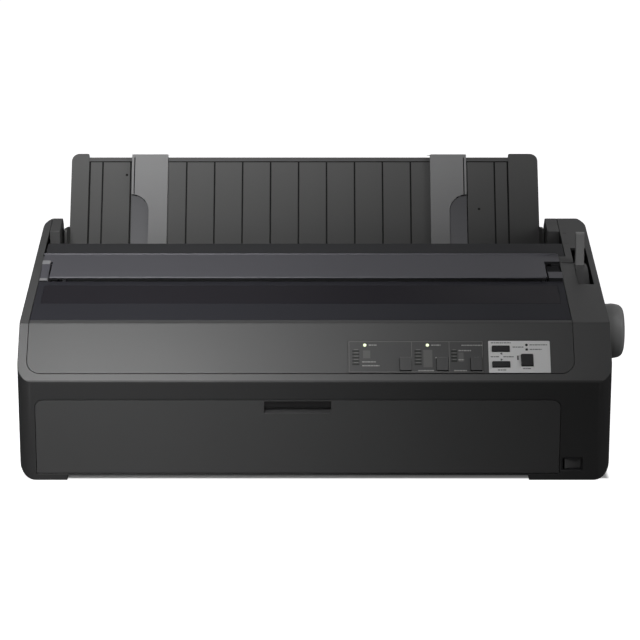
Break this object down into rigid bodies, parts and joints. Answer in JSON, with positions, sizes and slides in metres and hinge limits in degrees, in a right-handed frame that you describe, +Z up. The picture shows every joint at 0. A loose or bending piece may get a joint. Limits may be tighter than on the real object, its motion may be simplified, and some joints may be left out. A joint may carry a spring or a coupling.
{
  "type": "dot matrix printer",
  "caption": "Wide-carriage impact printer with a sloped operator panel, hinged covers, paper support with edge guides, platen knob and release lever.",
  "frame": {"origin": "on the table under the middle of the printer's overall box", "axes": "+X to the right seen from the front, -Y towards the person at the front, +Z up"},
  "size_m": [0.639, 0.402, 0.2585],
  "materials": {
    "case_plastic": "fine grain moulded case",
    "base_plastic": "fine grain moulded case",
    "panel_plastic": "fine grain",
    "overlay_dark": "printed film",
    "label_pale": "printed film",
    "lid_plastic": "satin",
    "smoked_window": "smoked, semi-gloss",
    "deck_plastic": "fine grain",
    "support_plastic": "satin",
    "guide_plastic": "satin",
    "key_plastic": "satin",
    "lever_plastic": "satin",
    "knob_plastic": "satin",
    "plated_steel": "zinc plated",
    "ground_steel": "ground",
    "foot_rubber": "matt",
    "platen_rubber": "ground",
    "belt_rubber": "matt",
    "board_green": "lacquered board",
    "part_white": "satin",
    "part_black": "satin",
    "motor_metal": "semi-gloss",
    "brass_part": "turned",
    "head_alloy": "cast, finned",
    "supply_metal": "plain"
  },
  "bodies": {
    "chassis": {"upper_case": "case_plastic", "lower_case": "base_plastic", "rubber_feet": "foot_rubber", "case_screws": "plated_steel", "control_panel": "panel_plastic", "panel_overlay": "overlay_dark", "panel_label": "label_pale", "panel_board": "board_green", "base_frame": "plated_steel", "left_side_plate": "plated_steel", "right_side_plate": "plated_steel", "rear_deck": "deck_plastic", "support_brackets": "deck_plastic", "main_board": "board_green", "power_supply": "supply_metal", "ac_inlet": "part_black", "interface_ports": "part_black", "power_switch": "part_black", "carriage_rod": "ground_steel", "guide_rail": "plated_steel", "platen_bushes": "part_white", "paper_guide": "part_black", "feed_motor": "motor_metal", "carriage_motor": "motor_metal", "drive_belt": "belt_rubber", "tractor_rod": "ground_steel"},
    "top_cover": {"top_cover": "lid_plastic", "cover_window": "smoked_window"},
    "front_cover": {"front_cover": "base_plastic"},
    "tension_unit": {"tension_unit": "case_plastic"},
    "sheet_support": {"sheet_support": "support_plastic"},
    "left_edge_guide": {"left_edge_guide": "guide_plastic"},
    "right_edge_guide": {"right_edge_guide": "guide_plastic"},
    "release_lever": {"release_lever": "lever_plastic"},
    "thickness_lever": {"thickness_lever": "part_white"},
    "platen": {"platen_roller": "platen_rubber", "platen_shaft": "ground_steel", "platen_gear": "part_white", "platen_knob": "knob_plastic"},
    "pressure_rollers": {"pressure_rollers": "platen_rubber"},
    "idler_gear": {"idler_gear": "part_white"},
    "feed_pinion": {"feed_pinion": "brass_part"},
    "tractor_shaft": {"tractor_shaft": "ground_steel"},
    "left_tractor": {"left_tractor": "part_black"},
    "right_tractor": {"right_tractor": "part_black"},
    "left_sprocket": {"left_sprocket": "part_white"},
    "right_sprocket": {"right_sprocket": "part_white"},
    "carriage": {"carriage": "part_black", "print_head": "head_alloy"},
    "drive_pulley": {"drive_pulley": "brass_part"},
    "idler_pulley": {"idler_pulley": "brass_part"},
    "ribbon_cartridge": {"ribbon_cartridge": "part_black"},
    "ribbon_knob": {"ribbon_knob": "part_white"},
    "font_key": {"font_key": "key_plastic"},
    "pitch_key": {"pitch_key": "key_plastic"},
    "tear_off_key": {"tear_off_key": "key_plastic"},
    "load_key": {"load_key": "key_plastic"},
    "feed_key": {"feed_key": "key_plastic"},
    "pause_key": {"pause_key": "key_plastic"},
    "power_rocker": {"power_rocker": "part_black"}
  },
  "joints": [
    {"name": "top_cover_hinge", "type": "hinge", "parent": "chassis", "child": "top_cover", "pos_m": [-0.015, -0.05505, 0.16843], "axis": [-1, 0, 0], "range_deg": [0, 92]},
    {"name": "front_cover_hinge", "type": "hinge", "parent": "chassis", "child": "front_cover", "pos_m": [-0.015, -0.19945, 0.0103], "axis": [1, 0, 0], "range_deg": [0, 88]},
    {"name": "tension_unit_lift", "type": "slide", "parent": "chassis", "child": "tension_unit", "axis": [0, 0, 1], "range_m": [0, 0.03]},
    {"name": "sheet_support_hinge", "type": "hinge", "parent": "chassis", "child": "sheet_support", "pos_m": [-0.015, 0.11695, 0.166], "axis": [1, 0, 0], "range_deg": [0, 70]},
    {"name": "left_guide_slide", "type": "slide", "parent": "sheet_support", "child": "left_edge_guide", "axis": [1, 0, 0], "range_m": [-0.045, 0.1]},
    {"name": "right_guide_slide", "type": "slide", "parent": "sheet_support", "child": "right_edge_guide", "axis": [1, 0, 0], "range_m": [-0.18, 0.04]},
    {"name": "release_lever_pivot", "type": "hinge", "parent": "chassis", "child": "release_lever", "pos_m": [-0.015, -0.00605, 0.105], "axis": [1, 0, 0], "range_deg": [-20, 30]},
    {"name": "thickness_lever_pivot", "type": "hinge", "parent": "chassis", "child": "thickness_lever", "pos_m": [-0.015, -0.07705, 0.112], "axis": [1, 0, 0], "range_deg": [-20, 10]},
    {"name": "platen_turn", "type": "hinge", "parent": "chassis", "child": "platen", "pos_m": [-0.015, -0.02305, 0.1095], "axis": [1, 0, 0], "continuous": true},
    {"name": "pressure_roller_turn", "type": "hinge", "parent": "chassis", "child": "pressure_rollers", "pos_m": [-0.015, -0.02305, 0.0832], "axis": [1, 0, 0], "continuous": true},
    {"name": "idler_gear_turn", "type": "hinge", "parent": "chassis", "child": "idler_gear", "pos_m": [-0.015, 0.02332, 0.09708], "axis": [1, 0, 0], "continuous": true},
    {"name": "feed_pinion_turn", "type": "hinge", "parent": "chassis", "child": "feed_pinion", "pos_m": [-0.015, 0.01776, 0.06556], "axis": [1, 0, 0], "continuous": true},
    {"name": "tractor_shaft_turn", "type": "hinge", "parent": "chassis", "child": "tractor_shaft", "pos_m": [-0.015, 0.06539, 0.10994], "axis": [1, 0, 0], "continuous": true},
    {"name": "left_tractor_slide", "type": "slide", "parent": "chassis", "child": "left_tractor", "axis": [1, 0, 0], "range_m": [0, 0.06]},
    {"name": "right_tractor_slide", "type": "slide", "parent": "chassis", "child": "right_tractor", "axis": [1, 0, 0], "range_m": [-0.06, 0]},
    {"name": "left_sprocket_turn", "type": "hinge", "parent": "left_tractor", "child": "left_sprocket", "pos_m": [-0.015, 0.06539, 0.10994], "axis": [1, 0, 0], "continuous": true},
    {"name": "right_sprocket_turn", "type": "hinge", "parent": "right_tractor", "child": "right_sprocket", "pos_m": [-0.015, 0.06539, 0.10994], "axis": [1, 0, 0], "continuous": true},
    {"name": "carriage_slide", "type": "slide", "parent": "chassis", "child": "carriage", "axis": [1, 0, 0], "range_m": [0, 0.38]},
    {"name": "drive_pulley_turn", "type": "hinge", "parent": "chassis", "child": "drive_pulley", "pos_m": [0.21, -0.08905, 0.07], "axis": [0, 0, 1], "range_deg": [-1800, 1800]},
    {"name": "idler_pulley_turn", "type": "hinge", "parent": "chassis", "child": "idler_pulley", "pos_m": [-0.273, -0.08905, 0.07], "axis": [0, 0, 1], "range_deg": [-1800, 1800]},
    {"name": "ribbon_cartridge_lift", "type": "slide", "parent": "chassis", "child": "ribbon_cartridge", "axis": [0, 0, 1], "range_m": [0, 0.006]},
    {"name": "ribbon_knob_turn", "type": "hinge", "parent": "ribbon_cartridge", "child": "ribbon_knob", "pos_m": [-0.266, -0.12105, 0.14], "axis": [0, 0, 1], "continuous": true},
    {"name": "font_key_press", "type": "slide", "parent": "chassis", "child": "font_key", "axis": [0, 0.7431, -0.6691], "range_m": [0, 0.0008], "stiffness_N_per_m": 300, "springref_m": -0.002},
    {"name": "pitch_key_press", "type": "slide", "parent": "chassis", "child": "pitch_key", "axis": [0, 0.7431, -0.6691], "range_m": [0, 0.0008], "stiffness_N_per_m": 300, "springref_m": -0.002},
    {"name": "tear_off_key_press", "type": "slide", "parent": "chassis", "child": "tear_off_key", "axis": [0, 0.7431, -0.6691], "range_m": [0, 0.0008], "stiffness_N_per_m": 300, "springref_m": -0.002},
    {"name": "load_key_press", "type": "slide", "parent": "chassis", "child": "load_key", "axis": [0, 0.7431, -0.6691], "range_m": [0, 0.0008], "stiffness_N_per_m": 300, "springref_m": -0.002},
    {"name": "feed_key_press", "type": "slide", "parent": "chassis", "child": "feed_key", "axis": [0, 0.7431, -0.6691], "range_m": [0, 0.0008], "stiffness_N_per_m": 300, "springref_m": -0.002},
    {"name": "pause_key_press", "type": "slide", "parent": "chassis", "child": "pause_key", "axis": [0, 0.7431, -0.6691], "range_m": [0, 0.0008], "stiffness_N_per_m": 300, "springref_m": -0.002},
    {"name": "power_rocker_tilt", "type": "hinge", "parent": "chassis", "child": "power_rocker", "pos_m": [0.25, -0.19305, 0.0185], "axis": [0, 0, 1], "range_deg": [-16, 0]}
  ],
  "couplings": [
    {"joint": "pressure_roller_turn", "follows": "platen_turn", "ratio": -3.3333},
    {"joint": "idler_gear_turn", "follows": "platen_turn", "ratio": -1},
    {"joint": "feed_pinion_turn", "follows": "platen_turn", "ratio": 3},
    {"joint": "tractor_shaft_turn", "follows": "platen_turn", "ratio": 1.2},
    {"joint": "left_sprocket_turn", "follows": "platen_turn", "ratio": 1.2},
    {"joint": "right_sprocket_turn", "follows": "platen_turn", "ratio": 1.2},
    {"joint": "drive_pulley_turn", "follows": "carriage_slide", "rad_per_m": 74.627},
    {"joint": "idler_pulley_turn", "follows": "carriage_slide", "rad_per_m": 74.627}
  ]
}
